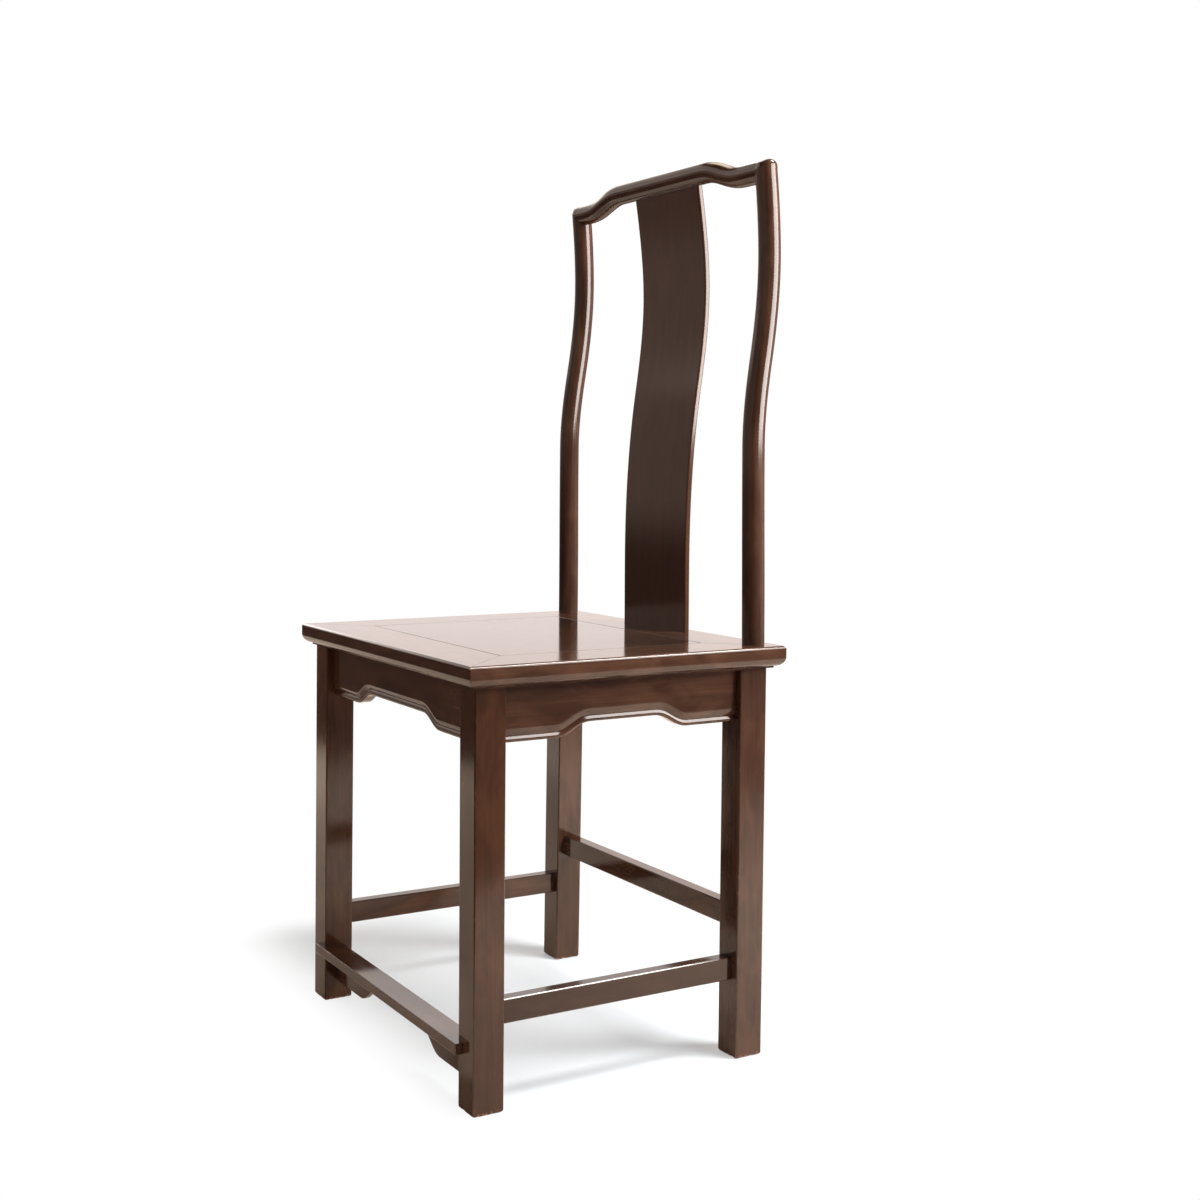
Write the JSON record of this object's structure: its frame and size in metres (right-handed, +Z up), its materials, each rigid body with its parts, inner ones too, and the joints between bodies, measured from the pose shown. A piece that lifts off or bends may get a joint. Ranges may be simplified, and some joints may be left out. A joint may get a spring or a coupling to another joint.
{
  "type": "side chair",
  "caption": "Armless wooden side chair with a flat panelled seat, S-curved round posts, a bent splat, a stepped round crest rail, shaped aprons and a footrest.",
  "frame": {"origin": "on the floor, under the middle of the chair's width and whole depth", "axes": "+Z up, -Y towards the front edge of the seat, +X towards the sitter's left"},
  "size_m": [0.504, 0.4246, 1.0863],
  "materials": {
    "frame_wood": "dark brown stain under satin-gloss lacquer, worn at the edges",
    "panel_wood": "dark brown stain under a smoother gloss lacquer",
    "splat_wood": "dark brown stain under satin-gloss lacquer"
  },
  "bodies": {
    "root": {"front_leg_left": "frame_wood", "front_leg_right": "frame_wood", "rear_leg_left": "frame_wood", "rear_leg_right": "frame_wood", "seat_rail_front": "frame_wood", "seat_rail_back": "frame_wood", "seat_rail_left": "frame_wood", "seat_rail_right": "frame_wood", "seat_panel": "panel_wood", "seat_batten_left": "panel_wood", "seat_batten_right": "panel_wood", "apron_front": "frame_wood", "apron_back": "frame_wood", "apron_left": "frame_wood", "apron_right": "frame_wood", "back_splat": "splat_wood", "crest_rail": "frame_wood", "footrest": "frame_wood", "footrest_apron": "frame_wood", "side_stretcher_left": "frame_wood", "side_stretcher_right": "frame_wood", "back_stretcher": "frame_wood"}
  },
  "joints": []
}
